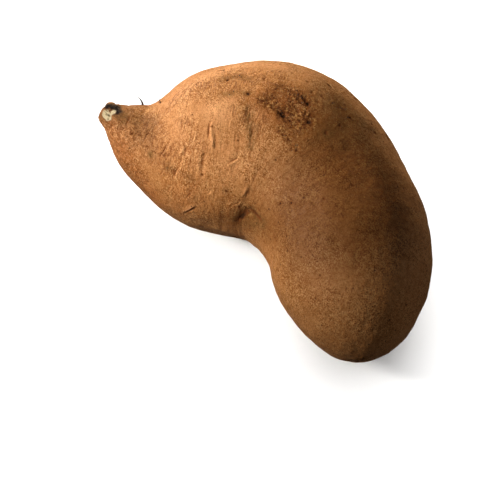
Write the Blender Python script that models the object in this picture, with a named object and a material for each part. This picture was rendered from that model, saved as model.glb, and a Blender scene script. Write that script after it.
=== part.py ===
"""A whole raw sweet potato: one bent tuber, lying on its side, with the stub of its stalk at the thin end.

Metres, +Z up. The tuber is about 159 mm long. Its length runs along X, from the stalk stub at -X to the blunt
root end at +X, and it bends round the hollow on its -Y side. It rests on Z = 0, on a strip that its own weight
has flattened a little. The origin is at the middle of its box, at the height of the surface it rests on.
"""

import math

import bmesh
import bpy
from mathutils import Vector, noise

MM = 0.001

# The skin's rings, from the stub to the root end, in millimetres: where the ring's middle is, then half its
# width across the tuber and half its height. Between the rings the skin follows a smooth curve.
RINGS = [
    (-68.8, -20.8, 51.4, 0.0, 0.0),  # the stub's broken face
    (-68.5, -20.7, 51.3, 3.3, 3.1),
    (-67.4, -20.4, 51.0, 4.9, 4.7),
    (-64.8, -19.7, 50.1, 5.8, 5.6),
    (-61.5, -18.8, 48.8, 7.8, 7.5),  # the neck, which widens into the shoulder
    (-57.0, -17.6, 46.7, 11.4, 11.3),
    (-52.4, -16.1, 44.0, 14.9, 14.7),
    (-47.5, -12.6, 41.9, 19.9, 19.8),
    (-41.4, -7.8, 39.6, 26.5, 27.7),
    (-33.8, 0.2, 38.4, 33.2, 34.6),
    (-24.3, 9.8, 38.6, 37.1, 37.7),
    (-12.5, 19.4, 39.1, 39.3, 39.1),
    (0.9, 24.6, 39.2, 38.8, 39.2),  # the thickest place, where the tuber bends
    (14.6, 24.3, 37.7, 36.9, 37.7),
    (28.4, 20.4, 35.8, 34.8, 35.8),
    (41.3, 15.2, 34.8, 34.1, 34.8),
    (52.0, 7.6, 33.7, 33.3, 33.7),
    (61.4, 0.0, 32.1, 30.2, 31.0),
    (70.0, -7.4, 30.3, 24.5, 26.1),
    (77.2, -13.1, 28.6, 17.4, 18.8),
    (81.4, -16.9, 27.4, 9.0, 9.8),
    (82.8, -18.2, 27.0, 0.0, 0.0),  # the blunt root end
]
ROUND = 68  # faces round a ring
ALONG = 66  # faces from end to end
TURN_SPREAD = 2.2  # rings each way over which the bend is spread, so that rings never cross at its inner side

SINK = 0.9 * MM  # how far the weight has pressed the underside flat

# Broad swellings and hollows of the skin: how far apart they are and how much they stand out.
SWELL_SPACING = 42.0 * MM
SWELL_HEIGHT = 1.1 * MM
RIPPLE_SPACING = 15.0 * MM
RIPPLE_HEIGHT = 0.28 * MM
FULL_SWELLING = 15.0 * MM  # a ring thinner than this, such as the stub's, swells less

# Shallow dents of healed scars, in millimetres: the dent's middle on the skin, its radius and its depth.
DENTS = [
    (0.0, 20.0, 77.0, 12.0, 0.8),  # the large rough scar on top
    (11.6, -11.7, 47.8, 8.0, 1.1),  # the pressed nick at the bend's inner side
    (16.0, 36.8, 72.3, 9.0, 0.5),
    (-52.4, -19.5, 55.4, 8.0, 0.7),  # the side of the neck
    (-30.3, -20.3, 56.2, 9.0, 0.5),
    (26.1, 41.8, 66.1, 7.0, 0.5),
    (-20.0, 44.0, 50.0, 11.0, 0.9),
    (52.0, 36.0, 42.0, 10.0, 0.8),
    (20.0, -4.0, 14.0, 9.0, 0.6),
]


def smooth_between(before, here, after, beyond, share):
    """The Catmull-Rom curve from here to after."""
    square, cube = share * share, share * share * share
    return 0.5 * (
        2 * here
        + (after - before) * share
        + (2 * before - 5 * here + 4 * after - beyond) * square
        + (3 * here - before - 3 * after + beyond) * cube
    )


def ring_at(share):
    """The ring's middle, in metres, and its two half sizes, at a share of the way from the stub to the root end."""
    # past each end the rings are mirrored, so that the skin closes over the end at right angles to the length
    first = (*RINGS[1][:3], -RINGS[1][3], -RINGS[1][4])
    last = (*RINGS[-2][:3], -RINGS[-2][3], -RINGS[-2][4])
    rows = [first, *RINGS, last]
    place = share * (len(RINGS) - 1)
    index = min(int(place), len(RINGS) - 2)
    four = rows[index : index + 4]
    x, y, z, width, height = (smooth_between(*column, place - index) * MM for column in zip(*four))
    return Vector((x, y, z)), width, height


def heading_at(share):
    """The direction of the tuber's length there, found from the middles of rings well before and after."""
    step = TURN_SPREAD / (len(RINGS) - 1)
    before = ring_at(max(share - step, 0.0))[0]
    after = ring_at(min(share + step, 1.0))[0]
    return (after - before).normalized()


def swelling(point):
    """How far the skin stands out at a point, from two sizes of soft, uneven lumps."""
    broad = noise.noise(point / SWELL_SPACING)
    small = noise.noise(point / RIPPLE_SPACING + Vector((7.0, 3.0, 5.0)))
    return SWELL_HEIGHT * broad + RIPPLE_HEIGHT * small


def denting(point):
    """How far the healed scars draw the skin in at a point."""
    drawn_in = 0.0
    for x, y, z, radius, depth in DENTS:
        reach = (point - Vector((x, y, z)) * MM).length / (radius * MM)
        drawn_in += depth * MM * max(1.0 - reach * reach, 0.0) ** 2
    return drawn_in


def skin_point(share, turn):
    """The place of the skin at a share of the length and a turn round it, in metres."""
    middle, width, height = ring_at(share)
    along = heading_at(share)
    across = along.cross(Vector((0, 0, 1))).normalized()
    up = across.cross(along)
    offset = across * (width * math.cos(turn)) + up * (height * math.sin(turn))
    point = middle + offset
    outward = offset.normalized()
    fullness = min(1.0, offset.length / FULL_SWELLING)
    point += outward * (swelling(point) * fullness - denting(point))
    point.z = max(point.z - SINK, 0.0)
    return point


def make_tuber():
    """A ball of rings and poles, with every corner moved to its place on the skin, then centred in X and Y."""
    bm = bmesh.new()
    bmesh.ops.create_uvsphere(bm, u_segments=ROUND, v_segments=ALONG, radius=1)
    for corner in bm.verts:
        share = math.acos(max(-1.0, min(1.0, corner.co.z))) / math.pi
        turn = math.atan2(corner.co.y, corner.co.x)
        corner.co = skin_point(share, turn)
    xs = [corner.co.x for corner in bm.verts]
    ys = [corner.co.y for corner in bm.verts]
    middle = Vector(((min(xs) + max(xs)) / 2, (min(ys) + max(ys)) / 2, 0.0))
    bmesh.ops.translate(bm, verts=bm.verts, vec=-middle)
    bmesh.ops.recalc_face_normals(bm, faces=bm.faces)
    mesh = bpy.data.meshes.new("tuber")
    bm.to_mesh(mesh)
    bm.free()
    mesh.shade_smooth()
    tuber = bpy.data.objects.new("tuber", mesh)
    bpy.context.scene.collection.objects.link(tuber)
    return tuber


def skin_material():
    material = bpy.data.materials.new("skin")
    material.use_nodes = True
    shader = material.node_tree.nodes["Principled BSDF"]
    shader.inputs["Base Color"].default_value = (0.52, 0.26, 0.115, 1.0)
    shader.inputs["Roughness"].default_value = 0.6
    shader.inputs["Metallic"].default_value = 0.0
    return material


def main():
    for old in list(bpy.data.objects):
        bpy.data.objects.remove(old)
    tuber = make_tuber()
    tuber.data.materials.append(skin_material())


main()
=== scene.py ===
"""The looks of a whole raw sweet potato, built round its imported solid.

The fine skin is a subdivided copy of the solid. Its slits, pits, scars and broken stub are raised or pressed
in, and painted through attributes. Dark rootlets and crumbs of soil are pieces of their own. Metres, +Z up.
"""

import math
import random

import bmesh
import bpy
import numpy as np
from mathutils import Matrix, Vector, noise
from mathutils.bvhtree import BVHTree
from mathutils.kdtree import KDTree


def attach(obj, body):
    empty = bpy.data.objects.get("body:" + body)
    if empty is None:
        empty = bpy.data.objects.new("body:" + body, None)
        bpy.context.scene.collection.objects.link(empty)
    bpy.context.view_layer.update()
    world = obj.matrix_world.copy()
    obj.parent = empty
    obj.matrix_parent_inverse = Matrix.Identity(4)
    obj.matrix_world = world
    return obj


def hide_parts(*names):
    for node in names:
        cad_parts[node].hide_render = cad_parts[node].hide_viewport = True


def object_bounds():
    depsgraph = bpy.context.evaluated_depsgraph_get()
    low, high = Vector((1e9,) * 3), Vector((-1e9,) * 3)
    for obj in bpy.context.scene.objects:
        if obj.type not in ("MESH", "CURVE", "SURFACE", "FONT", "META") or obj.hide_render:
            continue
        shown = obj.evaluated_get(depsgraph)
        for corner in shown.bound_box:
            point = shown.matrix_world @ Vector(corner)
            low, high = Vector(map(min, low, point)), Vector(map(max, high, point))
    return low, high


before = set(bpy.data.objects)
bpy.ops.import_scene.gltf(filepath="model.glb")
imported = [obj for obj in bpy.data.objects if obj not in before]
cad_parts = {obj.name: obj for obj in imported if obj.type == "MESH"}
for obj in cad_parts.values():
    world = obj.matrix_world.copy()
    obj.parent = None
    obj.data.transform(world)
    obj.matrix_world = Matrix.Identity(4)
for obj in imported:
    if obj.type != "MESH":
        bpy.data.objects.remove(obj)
CAD_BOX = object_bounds()

MM = 0.001
TINY = 1e-9
SEED = 11

# The camera stands where the photograph was taken from. Its frame is 500 pixels wide and high.
VIEW_TURN = math.radians(43.3)
VIEW_RISE = math.radians(53.1)
CAMERA_DISTANCE = 0.5827
AIM_LEFT = 17.4 * MM
AIM_DOWN = 28.4 * MM
LENS_MM = 100.0
SENSOR_MM = 36.0
FRAME_PX = 500
# How far past the tuber's middle, in millimetres, the skin is looked for when a pixel misses it.
SEARCH_DEPTHS = range(-60, 61, 2)

# The middle of the tuber, in millimetres, from the stub to the root end. The skin's grain runs round it.
MIDDLE_LINE = [
    (-78.4, -37.0, 51.4),
    (-71.0, -35.0, 48.8),
    (-57.0, -28.8, 41.9),
    (-43.4, -16.0, 38.4),
    (-22.1, 3.2, 39.1),
    (-8.7, 8.4, 39.2),
    (5.0, 8.1, 37.7),
    (18.8, 4.2, 35.8),
    (42.4, -8.6, 33.7),
    (60.4, -23.6, 30.3),
    (73.2, -34.4, 27.0),
]
MIDDLE_LINE_STEPS = 8  # samples between two of its points
MIDDLE_LINE_BLEND = 12 * MM  # how far along the line its samples are blended
GRAIN_RADIUS = 30 * MM

# The subdivided copy of the solid.
MERGE_WITHIN = 0.002 * MM
JOINED_FACE_ANGLE = math.radians(40)
JOINED_SHAPE_ANGLE = math.radians(60)
SUBDIVISIONS = 2
FINE_REACH = 1.5 * MM  # within this of a narrow mark the skin's faces are split once
FINE_EDGE = 0.45 * MM
FINEST_REACH = 0.8 * MM  # and within this, once more
FINEST_EDGE = 0.26 * MM
NARROW_STEP = 0.4 * MM  # between the places that stand for a slit when faces are split

# The relief. Its heights and depths are in millimetres, and so are the sizes in lists.
# Low lumps all over the skin: how far apart, how high, and which part of the noise.
SKIN_LUMPS = [(21.0, 0.26, 0.0), (8.0, 0.25, 3.0), (3.0, 0.14, 5.0), (1.7, 0.06, 4.0)]
NOISE_PARTS = {
    "wrinkles": 6.0, "grit": 9.0, "break": 2.0, "bark": 8.0, "stub": 4.0, "tip_edge": 7.0, "tip": 1.0,
}
NOISE_SHIFT = (1.0, 1.7, -1.0)  # the way from one part of the noise to the next
WRINKLE_SPACING = 3.4 * MM  # fine wrinkles that run round the tuber
WRINKLE_STRETCH = np.array((1.0, 0.2, 0.2))
WRINKLE_HEIGHT = 0.15
GRIT_SPACING = 1.0 * MM
SCAR_ROUGHNESS = 0.26
STILL_BELOW = 0.6 * MM  # nothing moves the strip that the tuber lies on
FADED_OUT = 3.0  # a spot or a pit ends at this many radii

# A slit's parts, in widths of the slit.
SLIT_END = 5.0  # nothing changes further from its line than this
SLIT_WAVER = 0.3  # how far it strays
SLIT_INK = 0.9  # the dark line along it, partly painted shade in the crack
LIP_AWAY = 1.9  # from its line to the crest of its lip
LIP_WIDTH = 1.1
LIP_RISE = 2.2  # how many times its listed height a lip stands out
LIP_PAINTED_HIGHLIGHT = 3.2  # how strongly a lip is painted pale as highlight, for each millimetre of its listed height

# A pit's parts, in radii of the pit.
PIT_WAVER = 0.5  # how uneven its round is
PIT_INK = 1.35  # its dark spot, partly painted shade in the hole

# Marks that the photograph shows. Each is placed by the pixels it runs through. Sizes are in millimetres.
# A slit is a narrow crack with a lip on its left as its pixels run; its dark line is partly painted shade and
# its lip
# painted highlight: width, depth, height of its lip, darkness.
SLITS = [
    ([(129.7, 114.5), (128, 119.7), (125.4, 125)], 0.50, 0.36, 0.06, 0.85),
    ([(125, 126), (121.8, 130)], 0.40, 0.18, 0.05, 0.45),
    ([(129.4, 134.8), (134, 132.6)], 0.50, 0.25, 0.05, 0.70),
    ([(137, 133.4), (140, 135), (142.6, 137)], 0.50, 0.20, 0.04, 0.50),
    ([(149.4, 132.5), (145.2, 135)], 0.60, 0.36, 0.05, 0.95),
    ([(145, 180), (149.4, 182.4)], 0.45, 0.20, 0.05, 0.55),
    ([(166.5, 145.6), (163.9, 150.8), (159.4, 157.4)], 0.42, 0.30, 0.18, 0.80),
    ([(171.6, 137), (168, 146), (165.6, 154)], 0.45, 0.10, 0.16, 0.12),
    ([(183.8, 156.4), (184.9, 151.4), (186.6, 146.2)], 0.72, 0.30, 0.18, 0.66),
    ([(183, 157), (181, 161), (179.4, 165)], 0.50, 0.14, 0.14, 0.25),
    ([(179.5, 165.5), (176, 171), (172.6, 177.4)], 0.62, 0.28, 0.16, 0.72),
    ([(209.6, 122.4), (208.6, 127), (208.4, 132), (208.2, 137.8)], 0.58, 0.36, 0.22, 0.90),
    ([(210, 126.8), (213.8, 126.2)], 0.50, 0.26, 0.05, 0.85),
    ([(215.2, 150), (215.8, 141), (215.2, 132.6)], 0.66, 0.24, 0.24, 0.34),
    ([(201.4, 171.5), (202.4, 162), (204.2, 153)], 0.80, 0.32, 0.16, 0.56),
    ([(201.2, 173.2), (203.6, 175.8)], 0.68, 0.34, 0.06, 0.88),
    ([(203.4, 155), (205, 153)], 0.45, 0.20, 0.05, 0.70),
    ([(238.6, 157.2), (233, 160.4), (226.8, 163.8)], 0.46, 0.22, 0.18, 0.66),
    ([(245.6, 198), (248.2, 192.5), (250.4, 187.6)], 0.62, 0.22, 0.14, 0.52),
    ([(249.2, 178), (250, 182.4)], 0.35, 0.14, 0.05, 0.55),
    ([(191.4, 192.6), (188.6, 195), (185.4, 198.6)], 0.50, 0.24, 0.14, 0.68),
    ([(184.2, 214), (190, 210.6), (197.4, 206.4)], 0.54, 0.20, 0.42, 0.46),
    ([(326.4, 82.4), (329, 84.8), (332.6, 88.4)], 0.55, 0.40, 0.12, 0.95),
    ([(236, 223), (242, 216.4), (250, 208)], 1.60, 0.50, 0.04, 0.98),
    ([(249, 208), (255, 213.4), (262, 222.6)], 1.30, 0.40, 0.04, 0.90),
    ([(386, 134), (389.6, 141)], 0.80, 0.50, 0.05, 0.90),
    ([(411.6, 180), (413.6, 186.5)], 0.80, 0.50, 0.05, 0.90),
    ([(158, 102.8), (162, 101.2)], 0.50, 0.20, 0.05, 0.70),
    ([(181, 92.4), (187, 88.4)], 0.40, 0.20, 0.05, 0.60),
    ([(217.4, 70.8), (223.2, 69)], 0.50, 0.26, 0.04, 0.80),
    ([(125.4, 107), (129.6, 110.8)], 0.45, 0.20, 0.05, 0.60),
    ([(262.6, 79.4), (266, 77.4)], 0.42, 0.22, 0.05, 0.80),
    ([(278.2, 74), (278, 77.4)], 0.40, 0.18, 0.04, 0.65),
    ([(195, 88.6), (196.6, 91.6)], 0.40, 0.18, 0.04, 0.60),
    ([(173, 100.6), (178.6, 98.6)], 0.36, 0.14, 0.04, 0.45),
    ([(170.4, 107.8), (174, 106.8)], 0.40, 0.18, 0.04, 0.60),
    ([(182, 118.6), (184, 123.6), (187, 122.4)], 0.45, 0.20, 0.06, 0.55),
    ([(188.4, 117.4), (189.6, 124.6)], 0.42, 0.18, 0.06, 0.50),
    ([(222, 181), (225.6, 185)], 0.40, 0.14, 0.06, 0.45),
    ([(187, 175), (190.4, 179), (194.4, 180.2)], 0.45, 0.16, 0.05, 0.55),
    ([(140, 142), (136.6, 147)], 0.36, 0.14, 0.08, 0.45),
    ([(154.6, 160), (150.4, 166.4)], 0.38, 0.14, 0.10, 0.45),
    ([(194.6, 133), (193, 140)], 0.40, 0.14, 0.10, 0.35),
    ([(229, 120), (228, 128)], 0.42, 0.12, 0.08, 0.30),
    ([(240.4, 201.6), (235.6, 204), (230.4, 205.4)], 0.50, 0.14, 0.10, 0.35),
    ([(248.4, 108), (247, 112), (247.6, 116)], 0.55, 0.22, 0.06, 0.50),
    ([(249.6, 115), (249, 120), (247, 124.6)], 0.50, 0.20, 0.06, 0.46),
    ([(251.6, 126), (252.6, 132), (251.4, 137)], 0.55, 0.22, 0.06, 0.50),
    ([(250, 138), (250.8, 143), (249.6, 148.6)], 0.50, 0.20, 0.06, 0.46),
    ([(247.4, 128), (247, 133)], 0.40, 0.14, 0.05, 0.36),
    ([(236, 134), (235, 141)], 0.36, 0.10, 0.07, 0.28),
    ([(222, 142), (220.6, 152)], 0.40, 0.10, 0.08, 0.26),
    ([(196, 184), (193.4, 190)], 0.40, 0.12, 0.08, 0.32),
    ([(166, 120.6), (161, 124)], 0.40, 0.14, 0.05, 0.40),
    ([(152, 116), (156, 121)], 0.40, 0.14, 0.05, 0.42),
    ([(146, 144.6), (150, 149)], 0.38, 0.14, 0.05, 0.42),
    ([(163, 170.6), (159, 177)], 0.38, 0.14, 0.08, 0.38),
    ([(171, 186), (167.4, 191.6)], 0.38, 0.12, 0.08, 0.35),
    ([(212, 189), (208, 194)], 0.38, 0.12, 0.08, 0.30),
]
# A pit is a small hole, painted dark partly as shade in it: radius, depth, darkness.
PITS = [
    ([(160.4, 102)], 0.50, 0.2, 0.9),
    ([(223.4, 69.4)], 0.65, 0.35, 1.0),
    ([(227.4, 79.6)], 0.65, 0.35, 1.0),
    ([(248, 93.4)], 0.80, 0.4, 1.0),
    ([(263.6, 101)], 0.65, 0.3, 0.85),
    ([(268, 103)], 0.50, 0.25, 0.7),
    ([(282, 112.8)], 0.90, 0.5, 1.0),
    ([(283.4, 116)], 1.20, 0.7, 1.0),
    ([(279, 111.6)], 0.60, 0.3, 0.9),
    ([(290, 120.6)], 0.60, 0.4, 1.0),
    ([(286, 113)], 0.50, 0.3, 0.8),
    ([(307.4, 103.4)], 1.10, 0.5, 1.0),
    ([(304.8, 100)], 0.80, 0.4, 0.9),
    ([(300.6, 102.6)], 0.55, 0.3, 0.8),
    ([(293.4, 104.6)], 0.50, 0.3, 0.75),
    ([(308.8, 122.2)], 1.15, 0.8, 1.0),
    ([(304.6, 125)], 0.50, 0.3, 0.8),
    ([(309.6, 115.4)], 0.70, 0.3, 0.8),
    ([(297.4, 111.2)], 0.70, 0.4, 0.85),
    ([(299.4, 94)], 0.55, 0.3, 0.75),
    ([(306, 112)], 0.50, 0.3, 0.75),
    ([(308, 81.6)], 0.50, 0.25, 0.75),
    ([(350, 117.6)], 0.80, 0.30, 1.0),
    ([(343, 109.4)], 0.60, 0.2, 0.7),
    ([(345.6, 148.6)], 0.50, 0.2, 0.75),
    ([(280.4, 203.4)], 0.60, 0.30, 1.0),
    ([(291.4, 202.8)], 0.55, 0.30, 1.0),
    ([(226.5, 191.2)], 0.60, 0.25, 0.9),
    ([(371, 197)], 0.40, 0.2, 0.7),
    ([(375.2, 132.4)], 0.70, 0.25, 0.9),
    ([(371.4, 130.4)], 0.50, 0.2, 0.7),
    ([(145.8, 105.8)], 0.60, 0.15, 0.6),
    ([(355, 98.4)], 0.60, 0.25, 0.9),
    ([(351, 95)], 0.45, 0.2, 0.8),
    ([(345, 105)], 0.50, 0.2, 0.85),
    ([(340, 125)], 0.60, 0.25, 0.9),
    ([(372, 124)], 0.60, 0.25, 0.9),
    ([(352, 185)], 0.50, 0.2, 0.9),
    ([(324, 198.6)], 0.45, 0.2, 0.9),
    ([(326, 133)], 0.60, 0.25, 0.85),
    ([(312, 92)], 0.45, 0.2, 0.75),
    ([(318, 101)], 0.45, 0.2, 0.75),
    ([(316, 110)], 0.50, 0.2, 0.8),
    ([(322, 96)], 0.45, 0.2, 0.75),
    ([(333, 98)], 0.45, 0.2, 0.75),
    ([(239.6, 207)], 0.50, 0.2, 0.8),
    ([(258.6, 208.4)], 0.50, 0.2, 0.8),
    ([(280.8, 177)], 0.50, 0.15, 0.6),
    ([(287.6, 179)], 0.50, 0.15, 0.55),
    ([(249.6, 181)], 0.45, 0.15, 0.6),
    ([(232, 188)], 0.40, 0.15, 0.5),
    ([(247, 105)], 0.35, 0.15, 0.6),
    ([(283, 134.6)], 0.60, 0.25, 0.9),
    ([(296.4, 150)], 0.55, 0.25, 0.9),
]
# A stain is a soft, dull patch of ground-in soil: radius, strength.
STAINS = [
    ([(221, 79), (233, 76.8), (241, 76), (249, 79)], 1.8, 0.62),
    ([(222, 94.6), (230, 93.4), (240, 92.6), (250, 93.6)], 1.3, 0.62),
    ([(247.6, 108), (249, 124), (251, 136), (250.6, 149)], 1.6, 0.66),
    ([(250.4, 187), (246, 198)], 1.5, 0.55),
    ([(150.8, 154.2)], 1.6, 0.85),
    ([(168.4, 167.4)], 1.5, 0.50),
    ([(190, 179)], 2.6, 0.50),
    ([(172, 168), (167, 164)], 1.6, 0.35),
    ([(138, 134), (143, 136)], 1.6, 0.30),
    ([(141, 124)], 6.0, 0.34),
    ([(126, 113)], 4.5, 0.36),
    ([(117, 113), (121, 118)], 2.6, 0.62),
    ([(131, 106), (152, 107)], 2.4, 0.28),
    ([(334, 104), (343, 110), (351, 119)], 5.4, 0.78),
    ([(330, 126), (340, 128)], 5.4, 0.60),
    ([(326.6, 134.4)], 2.2, 0.50),
    ([(345.6, 148.6)], 2.4, 0.46),
    ([(362, 124), (375, 132)], 3.0, 0.45),
    ([(325, 84), (318, 92)], 4.0, 0.25),
    ([(238, 219), (248, 209), (261, 222)], 2.8, 0.88),
    ([(248, 217), (252, 224)], 3.6, 0.60),
    ([(215, 64)], 3.0, 0.18),
    ([(371, 197)], 2.0, 0.40),
    ([(226, 190)], 2.0, 0.40),
]
# A rough scar has grainy, rusty skin with black and ochre specks: radius, strength.
ROUGH_SCARS = [
    ([(260, 99), (272, 96)], 3.8, 0.70),
    ([(278, 86), (296, 92)], 4.2, 0.62),
    ([(268, 104), (281, 112), (288, 117)], 3.4, 0.85),
    ([(296, 98), (307, 103)], 4.2, 0.80),
    ([(294, 108), (310, 119)], 4.4, 0.80),
    ([(288, 122), (302, 126)], 4.4, 0.55),
    ([(279, 129), (284, 135), (296, 150)], 2.3, 0.65),
    ([(296, 134)], 5.0, 0.38),
    ([(338, 106), (343, 110), (350, 118)], 4.0, 0.42),
    ([(330, 120), (338, 128)], 4.0, 0.30),
    ([(249, 216)], 3.0, 0.40),
    ([(238, 77)], 3.4, 0.30),
    ([(234, 93)], 3.4, 0.30),
]
# A scuff is a soft patch of paler, thinner skin; the long ones along the top edge are painted highlight:
# radius, strength.
PALE_SCUFFS_AND_HIGHLIGHTS = [
    ([(212, 109), (221, 113)], 3.0, 0.95),
    ([(222, 104), (232, 101)], 3.0, 0.60),
    ([(226, 116)], 3.4, 0.50),
    ([(213, 126)], 3.5, 0.35),
    ([(176, 96), (200, 80), (232, 67)], 4.4, 0.62),
    ([(236, 66), (262, 64), (284, 68)], 4.0, 0.42),
    ([(181, 122)], 6.5, 0.30),
    ([(384, 141)], 2.6, 0.45),
    ([(288.6, 118)], 0.90, 1.00),
    ([(298, 98.4)], 0.90, 0.90),
    ([(303.6, 108.4)], 0.80, 0.80),
    ([(302, 107)], 2.00, 0.45),
    ([(286, 119)], 0.50, 0.80),
    ([(232, 168)], 6.0, 0.25),
    ([(255, 110), (262, 116)], 3.0, 0.25),
    ([(204, 108)], 5.0, 0.25),
]
# A ruddy patch is where the skin is thicker and redder: radius, strength.
RUDDY_PATCHES = [
    ([(112, 140), (128, 165), (150, 195)], 8.0, 0.80),
    ([(175, 212), (190, 190)], 9.0, 0.45),
    ([(268, 96), (292, 100)], 8.0, 0.75),
    ([(190, 84), (172, 96)], 3.2, 0.50),
    ([(140, 134)], 3.0, 0.55),
    ([(190.4, 152)], 2.4, 0.50),
    ([(103.4, 107.6)], 1.2, 1.00),
    ([(262, 114), (276, 118)], 4.0, 0.60),
    ([(224, 187)], 2.2, 0.45),
    ([(340, 160), (380, 200)], 12.0, 0.35),
]
# A creased patch is where the skin is crossed by fine reddish creases: radius, strength.
CREASED_PATCHES = [
    ([(122, 116), (146, 132), (168, 158)], 8.0, 0.95),
    ([(118, 146), (146, 188)], 7.0, 0.60),
    ([(183, 122)], 4.0, 0.75),
    ([(196, 146), (188, 178)], 7.0, 0.50),
    ([(210, 84), (256, 82)], 6.0, 0.72),
    ([(172, 102), (196, 86)], 5.0, 0.85),
    ([(222, 70), (280, 76)], 4.0, 0.50),
    ([(240, 112), (256, 130)], 5.0, 0.50),
    ([(180, 200), (220, 205)], 6.0, 0.40),
    ([(258, 112), (285, 92)], 7.0, 0.90),
    ([(300, 132), (292, 150)], 6.0, 0.60),
    ([(345, 150), (370, 190)], 9.0, 0.45),
]
# A dusky patch darkens the skin's colour. Those listed here are painted shade over the lower right, along the
# bottom edge and on the neck, laid over skin that is a somewhat darker brown there: radius, strength.
DUSKY_AND_SHADE_PATCHES = [
    ([(326, 135), (337, 175), (330, 215)], 17.0, 0.92),
    ([(380, 165), (392, 215)], 13.0, 0.75),
    ([(350, 230), (300, 235)], 17.0, 0.75),
    ([(300, 172), (290, 205)], 12.0, 0.58),
    ([(268, 222), (300, 218)], 10.0, 0.55),
    ([(236, 222), (262, 228)], 7.0, 0.50),
    ([(266, 172), (258, 204)], 6.0, 0.28),
    ([(150, 122)], 5.0, 0.42),
    ([(150, 140), (160, 156)], 6.0, 0.32),
    ([(132, 116), (143, 130)], 5.0, 0.32),
    ([(118, 110), (122, 120)], 3.2, 0.34),
    ([(250, 222), (215, 215)], 7.0, 0.28),
]

# The stub, where the tuber was snapped from its stalk.
BREAK_PX = (105.8, 115.2)  # the middle of the pale broken face
BREAK_DEPTH = 0.75 * MM
BREAK_RADIUS = 2.65 * MM
BREAK_ARM_PX = [(106.4, 115.2), (114.0, 111.6)]  # a torn strip of the same pale wood
BREAK_ARM_RADIUS = 0.95 * MM
BREAK_BLUR = 0.4 * MM  # how soft the broken face's edge is
PITH_PX = (108.2, 115.0)  # the dark middle of the broken face
PITH_RADIUS = 0.55 * MM
PITH_DEPTH = 0.45
BARK_PX = [(107.6, 106), (112, 106.6), (116.6, 107), (118, 111.6)]  # blackened bark over the break
BARK_RADIUS = 2.10 * MM
RAGGED_EDGE = 0.8 * MM  # how far the edges of the broken face and the bark stray
BREAK_EDGE_SPACING = 1.3 * MM
BARK_EDGE_SPACING = 1.5 * MM
STUB_ROUGHNESS = 0.22
STUB_SPACING = 0.8 * MM
SNAP_FACING = (-0.55, -0.22, 0.80)  # the broken face looks this far to the photograph's right, up and forward
SNAP_REACH = 6 * MM
SNAP_SHARE = 0.85  # how much of what stands past the broken face is taken off

# The healed scar at the root end.
ROOT_TIP = (78.0, -39.0, 26.0)  # a place near it, in millimetres
ROOT_TIP_RADIUS = 2.6 * MM
ROOT_TIP_HEIGHT = 0.35
ROOT_TIP_WAVER = 0.25
ROOT_TIP_EDGE_SPACING = 2.0 * MM
ROOT_TIP_KNOBS = 1.4
ROOT_TIP_KNOB_SPACING = 1.4 * MM
ROOT_TIP_SCAR = 0.8  # how strongly it is painted as a scar

# The rootlets on the neck, in millimetres: pixel at the root, length, thickness, and how far they lean over.
NECK_ROOTLETS = [
    ((142.8, 105), 4.8, 1.10, -1.3),
    ((160.4, 102.6), 2.0, 0.60, -0.9),
    ((127, 104.2), 0.8, 0.16, 0.3),
]
NECK_ROOTLET_RISE = (0.10, 1.0, 0.15)  # they start this way: to the photograph's right, up and forward
HIDDEN_ROOTLETS = 11
HIDDEN_ROOTLET_BOX = ((-55, 70), (10, 60), (12, 60))  # the space whose nearest skin they grow from
HIDDEN_ROOTLET_LENGTH = (1.5, 5.0)
HIDDEN_ROOTLET_THICKNESS = (0.18, 0.34)
HIDDEN_ROOTLET_LEAN = 0.5
HIDDEN_ROOTLET_BEND = 1.2
ROOTLET_STEPS = 9
ROOTLET_SIDES = 7
ROOTLET_SINK = 0.4 * MM
ROOTLET_THINNING = 0.93  # each ring is this much of the one before it
ROOTLET_TIP_THINNING = 0.80  # and this much in the outer half

# Crumbs of soil in the rough scars.
SOIL_CRUMBS = 170
CRUMB_SCATTER = 0.45  # of a scar's radius
CRUMB_SIZE = -1.75  # the logarithm of a usual crumb's radius in millimetres
CRUMB_VARIETY = 0.45
LARGEST_CRUMB = 0.42
CRUMB_WIDTHS = (0.6, 1.0)  # these and the rest are shares of a crumb's length
CRUMB_HEIGHTS = (0.5, 0.8)
CRUMB_SINK = 0.15
CRUMB_ROUGHNESS = 0.16

# Marks on the sides that the photograph doesn't show: how many of each kind there are, and the spans that the
# numbers of the lists above are drawn from.
HIDDEN_BELOW = 0.12  # skin that turns less than this towards the camera counts as hidden
HIDDEN_FLOOR = 2 * MM  # no mark starts lower than this
HIDDEN_SLITS = 46
HIDDEN_SLIT_LEAN = (-0.35, 0.35)
HIDDEN_SLIT_HALF = (1.0, 4.0)  # half its length
HIDDEN_SLIT_STEPS = (-1.0, -0.3, 0.4, 1.0)
HIDDEN_SLIT_SIZES = [(0.38, 0.70), (0.18, 0.34), (0.06, 0.22), (0.45, 0.95)]
HIDDEN_PITS = 60
HIDDEN_PIT_SIZES = [(0.4, 0.8), (0.15, 0.35), (0.5, 1.0)]
HIDDEN_STAINS = 32
HIDDEN_STAIN_LENGTH = (1.0, 8.0)
HIDDEN_STAIN_SIZES = [(1.5, 5.5), (0.30, 0.72)]
HIDDEN_SCARS = 6
HIDDEN_SCAR_HALF = 5.0  # half the length of a scar
HIDDEN_SCAR_SIZES = [(1.6, 3.8), (0.45, 0.80)]
# On the hidden sides the dusky patches are only darker skin, and the pale ones only paler skin.
HIDDEN_PATCHES = 10  # of each kind
HIDDEN_PATCH_KINDS = ("pale_and_highlight", "ruddy", "creased", "dusky_and_shade")
HIDDEN_PATCH_SIZES = [(4.0, 11.0), (0.25, 0.75)]

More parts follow.
